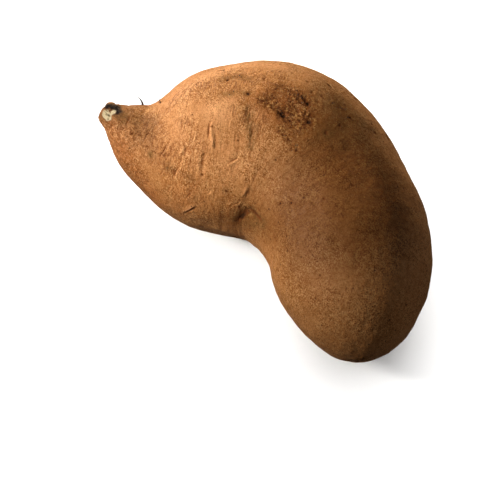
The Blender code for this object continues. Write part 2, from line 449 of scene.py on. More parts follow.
# The skin's noises: spacing in millimetres, detail, roughness and distortion.
SKIN_NOISES = {
    "clouds": (24.0, 2.0, 0.55, 0.0),
    "areas": (11.0, 3.0, 0.60, 0.0),
    "patches": (6.0, 3.0, 0.55, 0.0),
    "mottle": (1.7, 3.0, 0.60, 0.0),
    "grit": (0.54, 2.0, 0.50, 0.0),
    "cracks": (2.4, 4.0, 0.65, 1.4),
    "soil": (2.2, 5.0, 0.72, 0.6),
    "specks": (1.25, 4.0, 0.72, 0.9),
    "fibres": (0.9, 3.0, 0.70, 0.0),
}
CROSS_NOISES = {
    "streaks": (1.2, 3.0, 0.60, 0.0),
    "creases": (1.9, 3.0, 0.60, 0.9),
}
CROSS_GRAIN = (1.0, 0.30, 0.30)  # draws a noise out round the tuber
PORE_SPACING = 3.6 * MM

# Colours, as linear red, green and blue.
BASE_BROWN = (0.59, 0.247, 0.078)
CLOUD_BROWN = (0.50, 0.200, 0.058)
# The layers of colour over the base, from the lowest up. Each covers by the share of its name.
SKIN_LAYERS = [
    ("patches", "MIX", (0.64, 0.295, 0.100)),
    ("ruddy", "MIX", (0.53, 0.164, 0.041)),
    # The pale layer is paler skin in the scuffs, and painted highlight along the top edge and on the slits'
    # lips.
    ("pale_and_highlight", "MIX", (0.98, 0.470, 0.195)),
    ("dark_mottle", "MIX", (0.29, 0.090, 0.015)),
    ("pale_mottle", "MIX", (0.78, 0.405, 0.156)),
    ("streaks", "MIX", (0.26, 0.080, 0.014)),
    ("dark_grit", "MIX", (0.23, 0.068, 0.010)),
    ("pale_grit", "MIX", (0.82, 0.445, 0.175)),
    ("creases", "MIX", (0.21, 0.050, 0.007)),
    ("pores", "MIX", (0.12, 0.034, 0.005)),
    # The dusky layer multiplies the colour darker: painted shade over the lower right, the bottom edge and
    # the neck, and darker skin elsewhere.
    ("dusky_and_shade", "MULTIPLY", (0.38, 0.322, 0.215)),
    ("soil", "MIX", (0.13, 0.064, 0.016)),
    ("rust", "MIX", (0.33, 0.100, 0.014)),
    ("rusty_specks", "MIX", (0.15, 0.040, 0.005)),
    ("black_specks", "MIX", (0.045, 0.015, 0.003)),
    ("cracks", "MIX", (0.085, 0.025, 0.004)),
    ("ochre_specks", "MIX", (0.70, 0.375, 0.120)),
    # The dark of the slits and pits is darker skin and partly painted shade in the cracks and holes.
    ("crack_dark_and_shade", "MIX", (0.18, 0.050, 0.010)),
    ("crack_deep_dark_and_shade", "MIX", (0.042, 0.018, 0.006)),
]
PALE_WOOD = (0.94, 0.78, 0.48)
WOOD_FIBRE = (0.42, 0.28, 0.12)
PITH_BROWN = (0.10, 0.06, 0.03)
BLACK_BARK = (0.020, 0.013, 0.010)
GREY_BARK = (0.20, 0.125, 0.075)
SHEEN_TINT = (1.0, 0.80, 0.62)
SHEEN_WEIGHT = 0.03
SHEEN_ROUGHNESS = 0.35
SKIN_SPECULAR = 0.15
SKIN_BUMP = (0.75, 0.40 * MM)  # strength and distance

ROOTLET_BLACK = (0.020, 0.011, 0.009)
ROOTLET_BROWN = (0.080, 0.040, 0.024)
ROOTLET_RINGS = 0.35 * MM
ROOTLET_BUMP = (0.5, 0.05 * MM)
SOIL_DARK = (0.045, 0.027, 0.017)
SOIL_PALE = (0.21, 0.135, 0.080)
SOIL_GRAINS = 0.5 * MM
SOIL_BUMP = (0.7, 0.12 * MM)

# The studio. A lamp's way from what it lights goes to the photograph's right, up and forward. Then come its
# distance and size in metres, its watts, and its spread in degrees.
LAMPS = {
    "key": ((-0.70, 0.60, -0.35), 0.45, 0.3, 1.40, 180.0),
    "rear": ((0.0, 0.80, -0.42), 0.45, 0.3, 2.45, 180.0),
    "front": ((-0.80, 0.15, 0.50), 0.36, 0.12, 0.082, 30.0),
}
FRONT_LIGHT_PX = (210, 138)  # where the front lamp is aimed; the others are aimed at the tuber's middle
SIDE_LAMP_DISTANCE = 0.45
SIDE_LAMP_RISE = 0.15  # for each metre to the photograph's right
SIDE_LAMP_SIZE = 0.25
SIDE_LAMP_WATTS = 0.13
FLOOR_LAMP_HEIGHT = 2.6
FLOOR_LAMP_SIZE = 4.5
FLOOR_LAMP_WATTS = 150.0
LAMP_WARM = (1.0, 0.97, 0.93)
LAMP_WHITE = (1.0, 1.0, 1.0)
ROOM_COLOUR = (1.0, 0.95, 0.88, 1.0)
ROOM_STRENGTH = 0.05
FLOOR_HALF = 3.0
FLOOR_PALE = (0.88, 0.88, 0.88)
FLOOR_ROUGHNESS = 0.45
FLOOR_SPECULAR = 0.3


def photo_axes():
    """The camera's place, and its right, up and back directions."""
    back = Vector((
        math.sin(VIEW_TURN) * math.cos(VIEW_RISE),
        -math.cos(VIEW_TURN) * math.cos(VIEW_RISE),
        math.sin(VIEW_RISE),
    ))
    right = Vector((math.cos(VIEW_TURN), math.sin(VIEW_TURN), 0.0))
    up = back.cross(right)
    middle = (CAD_BOX[0] + CAD_BOX[1]) / 2
    place = middle + back * CAMERA_DISTANCE
    aim = middle - right * AIM_LEFT - up * AIM_DOWN
    back = (place - aim).normalized()
    right = Vector((0, 0, 1)).cross(back).normalized()
    return place, right, back.cross(right), back


def photo_direction(to_right, upward, forward):
    """The direction that goes this far to the photograph's right, up in it, and out of it to the camera."""
    _, right, up, back = photo_axes()
    return (right * to_right + up * upward + back * forward).normalized()


def sight_line(pixel):
    """From the camera through a pixel of the photograph: where it starts, and its direction."""
    place, right, up, back = photo_axes()
    focal_px = LENS_MM / SENSOR_MM * FRAME_PX
    x, y = pixel
    direction = right * (x - FRAME_PX / 2) - up * (y - FRAME_PX / 2) - back * focal_px
    return place, direction.normalized()


class Skin:
    """The smooth skin before its marks, for finding places on it."""

    def __init__(self, mesh):
        bm = bmesh.new()
        bm.from_mesh(mesh)
        self.tree = BVHTree.FromBMesh(bm)
        bm.free()

    def at(self, pixel):
        """The place on the skin that a pixel shows, or for one just past the outline the nearest place."""
        start, direction = sight_line(pixel)
        place = self.tree.ray_cast(start, direction)[0]
        if place is None:
            guesses = [start + direction * (CAMERA_DISTANCE + depth * MM) for depth in SEARCH_DEPTHS]
            found = min((self.tree.find_nearest(guess) for guess in guesses), key=lambda answer: answer[3])
            place = found[0]
        return place

    def near(self, place):
        """The nearest place on the skin, and the direction straight out of it."""
        found, outward, _, _ = self.tree.find_nearest(place)
        return found, outward


def smooth_copy(node):
    """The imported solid's mesh, merged, turned back to four-sided faces and subdivided."""
    bm = bmesh.new()
    bm.from_mesh(node.data)
    bmesh.ops.remove_doubles(bm, verts=bm.verts, dist=MERGE_WITHIN)
    bmesh.ops.join_triangles(
        bm, faces=bm.faces, angle_face_threshold=JOINED_FACE_ANGLE, angle_shape_threshold=JOINED_SHAPE_ANGLE
    )
    mesh = bpy.data.meshes.new("skin")
    bm.to_mesh(mesh)
    bm.free()
    rough = bpy.data.objects.new("skin_rough", mesh)
    bpy.context.scene.collection.objects.link(rough)
    subdivision = rough.modifiers.new("fine", "SUBSURF")
    subdivision.levels = SUBDIVISIONS
    subdivision.render_levels = SUBDIVISIONS
    fine = bpy.data.meshes.new_from_object(rough.evaluated_get(bpy.context.evaluated_depsgraph_get()))
    bpy.data.objects.remove(rough)
    return fine


def refine(bm, places, reach, longest):
    """Splits each edge of the skin that lies within reach of one of the places and is longer than longest."""
    tree = KDTree(len(places))
    for number, place in enumerate(places):
        tree.insert(place, number)
    tree.balance()
    long_edges = [edge for edge in bm.edges if edge.calc_length() > longest]
    close = [edge for edge in long_edges if tree.find((edge.verts[0].co + edge.verts[1].co) / 2)[2] < reach]
    bmesh.ops.subdivide_edges(bm, edges=close, cuts=1, use_grid_fill=True)


def refine_near(mesh, narrow):
    """Splits the skin's faces round the narrow marks, in place."""
    bm = bmesh.new()
    bm.from_mesh(mesh)
    refine(bm, narrow, FINE_REACH, FINE_EDGE)
    refine(bm, narrow, FINEST_REACH, FINEST_EDGE)
    bmesh.ops.triangulate(bm, faces=[face for face in bm.faces if len(face.verts) > 4])
    bm.to_mesh(mesh)
    bm.free()


def step_along(points, step):
    """Places along a line of points, no further apart than step."""
    places = [points[0]]
    for start, end in zip(points, points[1:]):
        count = max(1, math.ceil((end - start).length / step))
        places += [start.lerp(end, number / count) for number in range(1, count + 1)]
    return places


def touched(co, points, reach):
    """The numbers of the corners that lie within reach of the ball that holds all the points."""
    middle = sum(points, Vector()) / len(points)
    radius = max((point - middle).length for point in points) + reach
    return np.flatnonzero(((co - np.array(middle)) ** 2).sum(axis=1) < radius * radius)


def distance_to_line(co, points):
    """For each corner: how far it is from a line of points, which side of the line it is on as the photograph
    shows it, from -1 to 1, and how much of the line's strength is left there, which fades to 0 at its ends.
    """
    back = np.array(photo_axes()[3])
    nearest = np.full(len(co), np.inf)
    side = np.zeros(len(co))
    place = np.zeros(len(co))
    runs = list(zip(points, points[1:])) or [(points[0], points[0])]
    for number, (start, end) in enumerate(runs):
        a = np.array(start)
        along = np.array(end) - a
        share = np.clip(((co - a) @ along) / max(along @ along, TINY), 0.0, 1.0)
        gap = co - (a + share[:, None] * along)
        distance = np.linalg.norm(gap, axis=1)
        view_side = np.cross(along / max(np.linalg.norm(along), TINY), gap) @ back
        closer = distance < nearest
        nearest = np.where(closer, distance, nearest)
        side = np.where(closer, view_side / np.maximum(distance, TINY), side)
        place = np.where(closer, (number + share) / len(runs), place)
    return nearest, side, np.sqrt(np.sin(np.pi * place).clip(0.0, 1.0))


def hill(distance, radius):
    """1 at a mark's middle, falling smoothly to 0 some way past its radius."""
    return np.exp(-((distance / radius) ** 2))


def crisp(cover, gain=1.7, loss=0.35):
    """The same cover with a clearer edge."""
    return np.clip(gain * cover - loss, 0.0, 1.0)


def noise_over(points, spacing, part):
    """Soft noise between about -1 and 1 at each point. Another part of it has other lumps."""
    move = Vector([shift * part for shift in NOISE_SHIFT])
    return np.array([noise.noise(Vector(point) / spacing + move) for point in points])


def grain_coordinates(co):
    """For each corner, how far along the tuber it is, with its turn round it as a place on a circle, and the
    direction of the tuber's length there.
    """
    line = np.array(MIDDLE_LINE) * MM
    steps = np.linspace(0, 1, MIDDLE_LINE_STEPS + 1)[:-1]
    samples = np.array([a + (b - a) * t for a, b in zip(line, line[1:]) for t in steps] + [line[-1]])
    lengths = np.concatenate([[0], np.cumsum(np.linalg.norm(np.diff(samples, axis=0), axis=1))])
    tangents = np.gradient(samples, axis=0)
    tangents /= np.linalg.norm(tangents, axis=1)[:, None]
    gaps = ((co[:, None, :] - samples[None, :, :]) ** 2).sum(axis=2)
    weight = np.exp(-(gaps - gaps.min(axis=1, keepdims=True)) / MIDDLE_LINE_BLEND ** 2)
    weight /= weight.sum(axis=1, keepdims=True)
    along = weight @ lengths
    heading = weight @ tangents
    heading /= np.linalg.norm(heading, axis=1)[:, None]
    spoke = co - weight @ samples
    across = np.cross(heading, (0.0, 0.0, 1.0))
    across /= np.linalg.norm(across, axis=1)[:, None]
    upward = np.cross(across, heading)
    right, up = (spoke * across).sum(axis=1), (spoke * upward).sum(axis=1)
    size = np.maximum(np.hypot(right, up), TINY)
    return np.stack([along, GRAIN_RADIUS * right / size, GRAIN_RADIUS * up / size], axis=1), heading


def drawn(chance, spans):
    """One number drawn from each span."""
    return [chance.uniform(low, high) for low, high in spans]


def hidden_marks(skin, co, outward, heading):
    """Marks for the sides that the photograph doesn't show, by kind, spread by a fixed seed."""
    chance = random.Random(SEED)
    back = np.array(photo_axes()[3])
    away = [i for i in range(len(co)) if outward[i] @ back < HIDDEN_BELOW and co[i][2] > HIDDEN_FLOOR]
    marks = {kind: [] for kind in ("slit", "pit", "soil", "scar", *HIDDEN_PATCH_KINDS)}
    for _ in range(HIDDEN_SLITS):
        i = chance.choice(away)
        round_way = Vector(heading[i]).cross(Vector(outward[i])).normalized()
        lean = Vector(heading[i]) * chance.uniform(*HIDDEN_SLIT_LEAN)
        reach = (round_way + lean) * chance.uniform(*HIDDEN_SLIT_HALF) * MM
        points = [skin.near(Vector(co[i]) + reach * step)[0] for step in HIDDEN_SLIT_STEPS]
        marks["slit"].append((points, *drawn(chance, HIDDEN_SLIT_SIZES)))
    for _ in range(HIDDEN_PITS):
        place = Vector(co[chance.choice(away)])
        marks["pit"].append(([place], *drawn(chance, HIDDEN_PIT_SIZES)))
    for _ in range(HIDDEN_STAINS):
        i = chance.choice(away)
        round_way = Vector(heading[i]).cross(Vector(outward[i])).normalized()
        reach = round_way * chance.uniform(*HIDDEN_STAIN_LENGTH) * MM
        points = [skin.near(Vector(co[i]) + reach * step)[0] for step in (-0.5, 0.5)]
        marks["soil"].append((points, *drawn(chance, HIDDEN_STAIN_SIZES)))
    for _ in range(HIDDEN_SCARS):
        i = chance.choice(away)
        reach = Vector([chance.uniform(-1, 1) for _ in range(3)]) * HIDDEN_SCAR_HALF * MM
        points = [skin.near(Vector(co[i]) + reach * step)[0] for step in (-1.0, 0.0, 1.0)]
        marks["scar"].append((points, *drawn(chance, HIDDEN_SCAR_SIZES)))
    for kind in HIDDEN_PATCH_KINDS:
        for _ in range(HIDDEN_PATCHES):
            place = Vector(co[chance.choice(away)])
            marks[kind].append(([place], *drawn(chance, HIDDEN_PATCH_SIZES)))
    return marks


def on_skin(skin, marks):
    """The marks with their pixels turned into places on the skin."""
    return [([skin.at(pixel) for pixel in pixels], *rest) for pixels, *rest in marks]


def all_marks(skin, mesh):
    """The marks that the photograph shows and those of the hidden sides, by kind."""
    co, outward = read_corners(mesh)
    hidden = hidden_marks(skin, co, outward, grain_coordinates(co)[1])
    shown = {
        "slit": SLITS, "pit": PITS, "soil": STAINS, "scar": ROUGH_SCARS,
        "pale_and_highlight": PALE_SCUFFS_AND_HIGHLIGHTS, "ruddy": RUDDY_PATCHES, "creased": CREASED_PATCHES, "dusky_and_shade": DUSKY_AND_SHADE_PATCHES,
    }
    return {kind: on_skin(skin, marks) + hidden[kind] for kind, marks in shown.items()}


def stub_places(skin):
    """Where the broken face, its torn strip, its dark middle and the bark over it are."""
    return {
        "face": skin.at(BREAK_PX),
        "strip": [skin.at(pixel) for pixel in BREAK_ARM_PX],
        "pith": skin.at(PITH_PX),
        "bark": [skin.at(pixel) for pixel in BARK_PX],
    }


def narrow_places(marks, stub):
    """The places near which the skin needs small faces."""
    slits = [place for points, *_ in marks["slit"] for place in step_along(points, NARROW_STEP)]
    pits = [points[0] for points, *_ in marks["pit"]]
    return slits + pits + stub["strip"] + stub["bark"]


def read_corners(mesh):
    """Each corner's place, and the direction straight out of the skin there."""
    co = np.empty(len(mesh.vertices) * 3)
    mesh.vertices.foreach_get("co", co)
    outward = np.empty(len(mesh.vertices) * 3)
    mesh.vertices.foreach_get("normal", outward)
    return co.reshape(-1, 3), outward.reshape(-1, 3)


def paint(mesh, name, values):
    """Keeps a value for each corner, which the skin's material reads."""
    layer = mesh.attributes.new(name, "FLOAT", "POINT")
    layer.data.foreach_set("value", np.clip(values, 0.0, 1.0).astype(np.float32))


def spread_spots(co, spots):
    """How strongly each corner is covered by soft spots and streaks."""
    cover = np.zeros(len(co))
    for points, radius, strength in spots:
        near = touched(co, points, FADED_OUT * radius * MM)
        distance = distance_to_line(co[near], points)[0]
        cover[near] = 1 - (1 - cover[near]) * (1 - strength * hill(distance, radius * MM))
    return cover


def low_relief(co, grain):
    """The skin's low lumps and the wrinkles round it."""
    lumps = sum(height * noise_over(co, spacing * MM, part) for spacing, height, part in SKIN_LUMPS)
    wrinkles = noise_over(grain * WRINKLE_STRETCH, WRINKLE_SPACING, NOISE_PARTS["wrinkles"])
    return lumps + WRINKLE_HEIGHT * wrinkles


def cut_slits(co, slits, grit, lift, paints):
    """Cuts the slits, raises their lips and paints both, in place: the slits dark, partly as painted shade,
    and the lips pale as painted highlight.
    """
    for points, width, depth, lip, darkness in slits:
        near = touched(co, points, SLIT_END * width * MM)
        distance, side, strength = distance_to_line(co[near], points)
        wavy = np.abs(distance + SLIT_WAVER * width * MM * grit[near])
        crest = hill(wavy - LIP_AWAY * width * MM, LIP_WIDTH * width * MM)
        beside = crest * np.clip(side, 0.0, 1.0) * strength
        lift[near] += LIP_RISE * lip * beside - depth * strength * hill(wavy, width * MM)
        dark = darkness * strength * crisp(hill(wavy, SLIT_INK * width * MM))
        paints["slit"][near] = np.maximum(paints["slit"][near], dark)
        # Painted highlight on the lip's side.
        paints["pale_and_highlight"][near] = np.maximum(paints["pale_and_highlight"][near], LIP_PAINTED_HIGHLIGHT * lip * beside)


def sink_pits(co, pits, grit, lift, paints):
    """Sinks the pits and paints them dark, partly as shade in them, in place."""
    for (place,), radius, depth, darkness in pits:
        near = touched(co, [place], FADED_OUT * radius * MM)
        distance = np.linalg.norm(co[near] - np.array(place), axis=1) * (1 + PIT_WAVER * grit[near])
        lift[near] -= depth * hill(distance, radius * MM)
        dark = darkness * crisp(hill(distance, PIT_INK * radius * MM))
        paints["slit"][near] = np.maximum(paints["slit"][near], dark)


def stub_paints(co, stub):
    """How strongly each corner is broken face, blackened bark and pith."""
    broken = distance_to_line(co, [stub["face"]])[0] - BREAK_RADIUS
    torn = distance_to_line(co, stub["strip"])[0] - BREAK_ARM_RADIUS
    ragged = RAGGED_EDGE * noise_over(co, BREAK_EDGE_SPACING, NOISE_PARTS["break"])
    face = np.clip(-(np.minimum(broken, torn) + ragged) / BREAK_BLUR, 0.0, 1.0)
    ragged = RAGGED_EDGE * noise_over(co, BARK_EDGE_SPACING, NOISE_PARTS["bark"])
    bark = np.maximum(distance_to_line(co, stub["bark"])[0] + ragged, 0.0)
    charred = crisp(hill(bark, BARK_RADIUS), gain=1.6, loss=0.4) * (1 - face)
    pith = hill(distance_to_line(co, [stub["pith"]])[0], PITH_RADIUS)
    return {"broken_face": face, "charred": charred, "pith": pith}


def root_tip_cover(skin, co):
    """How strongly each corner belongs to the healed scar at the root end."""
    tip, _ = skin.near(Vector(ROOT_TIP) * MM)
    waver = ROOT_TIP_WAVER * noise_over(co, ROOT_TIP_EDGE_SPACING, NOISE_PARTS["tip_edge"])
    return hill(distance_to_line(co, [tip])[0] * (1 + waver), ROOT_TIP_RADIUS)


def snap_off(co, middle):
    """Flattens the stub's corner where it was snapped."""
    facing = np.array(photo_direction(*SNAP_FACING))
    height = (co - np.array(middle)) @ facing + BREAK_DEPTH
    near = np.linalg.norm(co - np.array(middle), axis=1) < SNAP_REACH
    cut = np.where(near, np.maximum(height, 0.0), 0.0)
    return co - facing * cut[:, None] * SNAP_SHARE


def make_skin(node):
    """The skin with its relief and painted marks, and the smooth skin that places are found on."""
    mesh = smooth_copy(node)
    skin = Skin(mesh)
    marks = all_marks(skin, mesh)
    stub = stub_places(skin)
    refine_near(mesh, narrow_places(marks, stub))
    co, outward = read_corners(mesh)
    grain, _ = grain_coordinates(co)

    grit = noise_over(co, GRIT_SPACING, NOISE_PARTS["grit"])
    # The pale paint is paler skin, and along the top edge painted highlight.
    paints = {kind: spread_spots(co, marks[kind]) for kind in ("scar", "soil", "pale_and_highlight")}
    paints["slit"] = np.zeros(len(co))
    lift = low_relief(co, grain)
    cut_slits(co, marks["slit"], grit, lift, paints)
    sink_pits(co, marks["pit"], grit, lift, paints)
    lift += SCAR_ROUGHNESS * paints["scar"] * grit

    paints.update(stub_paints(co, stub))
    wood = paints["broken_face"] + paints["charred"]
    lift += STUB_ROUGHNESS * wood * noise_over(co, STUB_SPACING, NOISE_PARTS["stub"])
    lift -= PITH_DEPTH * paints["pith"]
    paints["pith"] = paints["pith"] * paints["broken_face"]

    tip = root_tip_cover(skin, co)
    knobs = ROOT_TIP_KNOBS * noise_over(co, ROOT_TIP_KNOB_SPACING, NOISE_PARTS["tip"])
    lift += ROOT_TIP_HEIGHT * tip * (1 + knobs)
    paints["scar"] = np.maximum(paints["scar"], ROOT_TIP_SCAR * tip)

    lift[co[:, 2] < STILL_BELOW] = 0.0
    co = snap_off(co + outward * (lift * MM)[:, None], stub["face"])
    co[:, 2] = np.maximum(co[:, 2], 0.0)
    mesh.vertices.foreach_set("co", co.ravel())

    # Ruddy, creased and dusky patches; the dusky ones are partly painted shade.
    for kind in ("ruddy", "creased", "dusky_and_shade"):
        paints[kind] = spread_spots(co, marks[kind])
    for name, values in paints.items():
        paint(mesh, name, values)
    layer = mesh.attributes.new("grain", "FLOAT_VECTOR", "POINT")
    layer.data.foreach_set("vector", grain.astype(np.float32).ravel())
    mesh.shade_smooth()
    mesh.update()
    mesh.materials.clear()
    mesh.materials.append(raw_skin())
    piece = bpy.data.objects.new("skin", mesh)
    bpy.context.scene.collection.objects.link(piece)
    return piece, skin


def shader_node(tree, kind, inputs=(), **settings):
    """Adds a node, sets its properties, and links or sets its inputs."""
    node = tree.nodes.new(kind)
    for name, value in settings.items():
        setattr(node, name, value)
    for name, value in dict(inputs).items():
        if isinstance(value, bpy.types.NodeSocket):
            tree.links.new(value, node.inputs[name])
        else:
            node.inputs[name].default_value = value
    return node


def noise_texture(tree, coordinates, spacing, detail=3.0, roughness=0.55, distortion=0.0):
    """Noise whose lumps are about spacing apart, in metres."""
    node = shader_node(tree, "ShaderNodeTexNoise", {
        "Vector": coordinates, "Scale": 1 / spacing, "Detail": detail, "Roughness": roughness,
        "Distortion": distortion,
    })
    return node.outputs["Fac"]


def between(tree, value, low, high, to_low=0.0, to_high=1.0):
    """The value's way from low to high, smoothed, as a number from to_low to to_high."""
    node = shader_node(tree, "ShaderNodeMapRange", {
        "Value": value, "From Min": low, "From Max": high, "To Min": to_low, "To Max": to_high,
    }, interpolation_type="SMOOTHSTEP")
    return node.outputs["Result"]


def combine(tree, operation, first, second):
    """The sum, product or other combination of two values."""
    node = shader_node(tree, "ShaderNodeMath", {0: first, 1: second}, operation=operation)
    return node.outputs["Value"]


def product(tree, first, second):
    return combine(tree, "MULTIPLY", first, second)


def blend_colour(tree, share, below, above, kind="MIX"):
    """Lays a colour over another by a share. Each colour is a socket, or linear red, green and blue."""
    node = shader_node(tree, "ShaderNodeMix", data_type="RGBA", blend_type=kind)
    under, over = (socket for socket in node.inputs if socket.type == "RGBA")
    for socket, value in ((under, below), (over, above)):
        if isinstance(value, bpy.types.NodeSocket):
            tree.links.new(value, socket)
        else:
            socket.default_value = (*value, 1.0)
    tree.links.new(share, node.inputs["Factor"])
    return next(socket for socket in node.outputs if socket.type == "RGBA")


def thin_lines(tree, source, outer, inner):
    """Thin lines where a noise passes through its middle value: how far off it they start and are full."""
    gap = combine(tree, "ABSOLUTE", combine(tree, "SUBTRACT", source, 0.5), 0.0)
    return between(tree, gap, outer, inner)


def add_bump(tree, shader, height, strength, distance):
    bump = shader_node(tree, "ShaderNodeBump", {"Strength": strength, "Distance": distance, "Height": height})
    tree.links.new(bump.outputs["Normal"], shader.inputs["Normal"])


def attribute_value(tree, name):
    return shader_node(tree, "ShaderNodeAttribute", attribute_name=name).outputs["Fac"]


def new_material(name):
    """A new material, its nodes, its shader and its object coordinates."""
    material = bpy.data.materials.new(name)
    material.use_nodes = True
    tree = material.node_tree
    place = shader_node(tree, "ShaderNodeTexCoord").outputs["Object"]
    return material, tree, tree.nodes["Principled BSDF"], place


def skin_noises(tree, place):
    """The noises that the skin is mottled, streaked and roughened with, by name."""
    grain = shader_node(tree, "ShaderNodeAttribute", attribute_name="grain").outputs["Vector"]
    across = shader_node(tree, "ShaderNodeMapping", {"Vector": grain, "Scale": CROSS_GRAIN}).outputs["Vector"]
    noises = {}
    for coordinates, table in ((place, SKIN_NOISES), (across, CROSS_NOISES)):
        for name, (spacing, detail, roughness, distortion) in table.items():
            noises[name] = noise_texture(tree, coordinates, spacing * MM, detail, roughness, distortion)
    return noises


def pore_dots(tree, place):
    """Dots in about half the cells of an uneven scatter."""
    cells = shader_node(tree, "ShaderNodeTexVoronoi", {
        "Vector": place, "Scale": 1 / PORE_SPACING, "Randomness": 1.0,
    })
    choice = shader_node(tree, "ShaderNodeSeparateColor", {"Color": cells.outputs["Color"]}).outputs["Red"]
    dot = between(tree, cells.outputs["Distance"], 0.15, 0.06)
    return product(tree, dot, between(tree, choice, 0.45, 0.55))


def skin_shares(tree, noises, pores, marks):
    """How strongly each layer of colour in SKIN_LAYERS covers the skin, by the layer's name."""
    mottle, grit, soil = noises["mottle"], noises["grit"], noises["soil"]
    scar, slit = marks["scar"], marks["slit"]
    graininess = between(tree, noises["areas"], 0.38, 0.60, 0.45, 1.0)
    creases = product(tree, thin_lines(tree, noises["creases"], 0.040, 0.004),
                      between(tree, marks["creased"], 0.0, 0.9, 0.18, 0.85))
    specks = combine(tree, "ADD", noises["specks"], between(tree, scar, 0.0, 1.0, -0.20, 0.03))
    return {
        "patches": between(tree, noises["patches"], 0.42, 0.70, 0.0, 0.45),
        "ruddy": between(tree, marks["ruddy"], 0.0, 1.0, 0.0, 0.70),
        "pale_and_highlight": product(tree, marks["pale_and_highlight"], between(tree, mottle, 0.30, 0.62, 0.55, 1.0)),
        "dark_mottle": product(tree, between(tree, mottle, 0.48, 0.66, 0.0, 0.66), graininess),
        "pale_mottle": product(tree, between(tree, mottle, 0.46, 0.33, 0.0, 0.48), graininess),
        "streaks": between(tree, noises["streaks"], 0.53, 0.73, 0.0, 0.30),
        "dark_grit": product(tree, between(tree, grit, 0.52, 0.68, 0.0, 0.90), graininess),
        "pale_grit": product(tree, between(tree, grit, 0.48, 0.32, 0.0, 0.85), graininess),
        "creases": product(tree, creases, between(tree, mottle, 0.30, 0.52, 0.2, 1.0)),
        "pores": product(tree, pores, 0.85),
        "dusky_and_shade": marks["dusky_and_shade"],
        "soil": product(tree, marks["soil"], between(tree, soil, 0.38, 0.58, 0.25, 1.0)),
        "rust": product(tree, scar, between(tree, soil, 0.36, 0.60, 0.30, 0.95)),
        "rusty_specks": product(tree, between(tree, specks, 0.46, 0.54), 0.55),
        "black_specks": product(tree, between(tree, specks, 0.54, 0.62), 0.88),
        "cracks": product(tree, thin_lines(tree, noises["cracks"], 0.022, 0.004),
                          between(tree, scar, 0.30, 0.80, 0.0, 0.75)),
        "ochre_specks": product(tree, scar, between(tree, noises["specks"], 0.45, 0.37)),
        "crack_dark_and_shade": between(tree, slit, 0.0, 0.92, 0.0, 0.88),
        "crack_deep_dark_and_shade": between(tree, slit, 0.78, 1.05),
    }


def skin_height(tree, noises, pores, marks, shares):
    """The finest relief, which the shader adds."""
    rough_scar = product(tree, noises["soil"], marks["scar"])
    torn_wood = product(tree, noises["fibres"], marks["broken_face"])
    parts = (
        (noises["mottle"], 0.95), (noises["streaks"], 0.65), (noises["grit"], 0.55), (pores, -0.5),
        (shares["creases"], -0.75), (rough_scar, 2.2), (shares["cracks"], -0.5), (torn_wood, 1.6),
    )
    height = product(tree, noises["patches"], 0.3)
    for source, weight in parts:
        height = combine(tree, "ADD", height, product(tree, source, weight))
    return height


def raw_skin():
    """Thin, dry skin: warm brown, mottled and grainy, with ground-in soil and the stub's broken wood, and
    with shade and highlight painted into its colour in places.
    """
    material, tree, shader, place = new_material("raw_skin")
    noises = skin_noises(tree, place)
    pores = pore_dots(tree, place)
    names = ("slit", "pale_and_highlight", "soil", "scar", "ruddy", "creased", "dusky_and_shade", "broken_face", "charred", "pith")
    marks = {name: attribute_value(tree, name) for name in names}
    shares = skin_shares(tree, noises, pores, marks)

    colour = blend_colour(tree, between(tree, noises["clouds"], 0.35, 0.65), BASE_BROWN, CLOUD_BROWN)
    for name, kind, layer in SKIN_LAYERS:
        colour = blend_colour(tree, shares[name], colour, layer, kind)
    fibres = noises["fibres"]
    bark = blend_colour(tree, between(tree, fibres, 0.50, 0.70), BLACK_BARK, GREY_BARK)
    wood = blend_colour(tree, between(tree, fibres, 0.46, 0.66), PALE_WOOD, WOOD_FIBRE)
    wood = blend_colour(tree, marks["pith"], wood, PITH_BROWN)
    colour = blend_colour(tree, marks["charred"], colour, bark)
    colour = blend_colour(tree, marks["broken_face"], colour, wood)
    tree.links.new(colour, shader.inputs["Base Color"])

    dull = marks["slit"]
    for share in (shares["soil"], shares["rusty_specks"], marks["broken_face"], marks["charred"]):
        dull = combine(tree, "MAXIMUM", dull, share)
    roughness = between(tree, noises["mottle"], 0.35, 0.65, 0.52, 0.68)
    roughness = combine(tree, "ADD", roughness, product(tree, dull, 0.3))
    tree.links.new(roughness, shader.inputs["Roughness"])
    shader.inputs["Specular IOR Level"].default_value = SKIN_SPECULAR
    shader.inputs["Sheen Weight"].default_value = SHEEN_WEIGHT
    shader.inputs["Sheen Roughness"].default_value = SHEEN_ROUGHNESS
    shader.inputs["Sheen Tint"].default_value = (*SHEEN_TINT, 1.0)
    add_bump(tree, shader, skin_height(tree, noises, pores, marks, shares), *SKIN_BUMP)
    return material


def rootlet_bark():
    """The dark, dry bark of the hair-thin rootlets."""
    material, tree, shader, place = new_material("rootlet_bark")
    rings = noise_texture(tree, place, ROOTLET_RINGS)
    colour = blend_colour(tree, between(tree, rings, 0.4, 0.7), ROOTLET_BLACK, ROOTLET_BROWN)
    tree.links.new(colour, shader.inputs["Base Color"])
    tree.links.new(between(tree, rings, 0.3, 0.7, 0.6, 0.85), shader.inputs["Roughness"])
    add_bump(tree, shader, rings, *ROOTLET_BUMP)
    return material


def dry_soil():
    """Crumbs of dry soil: dark grey-brown with paler grains."""
    material, tree, shader, place = new_material("dry_soil")
    grains = noise_texture(tree, place, SOIL_GRAINS, detail=4.0, roughness=0.7)
    colour = blend_colour(tree, between(tree, grains, 0.45, 0.72), SOIL_DARK, SOIL_PALE)
    tree.links.new(colour, shader.inputs["Base Color"])
    tree.links.new(between(tree, grains, 0.3, 0.7, 0.8, 0.95), shader.inputs["Roughness"])
    add_bump(tree, shader, grains, *SOIL_BUMP)
    return material


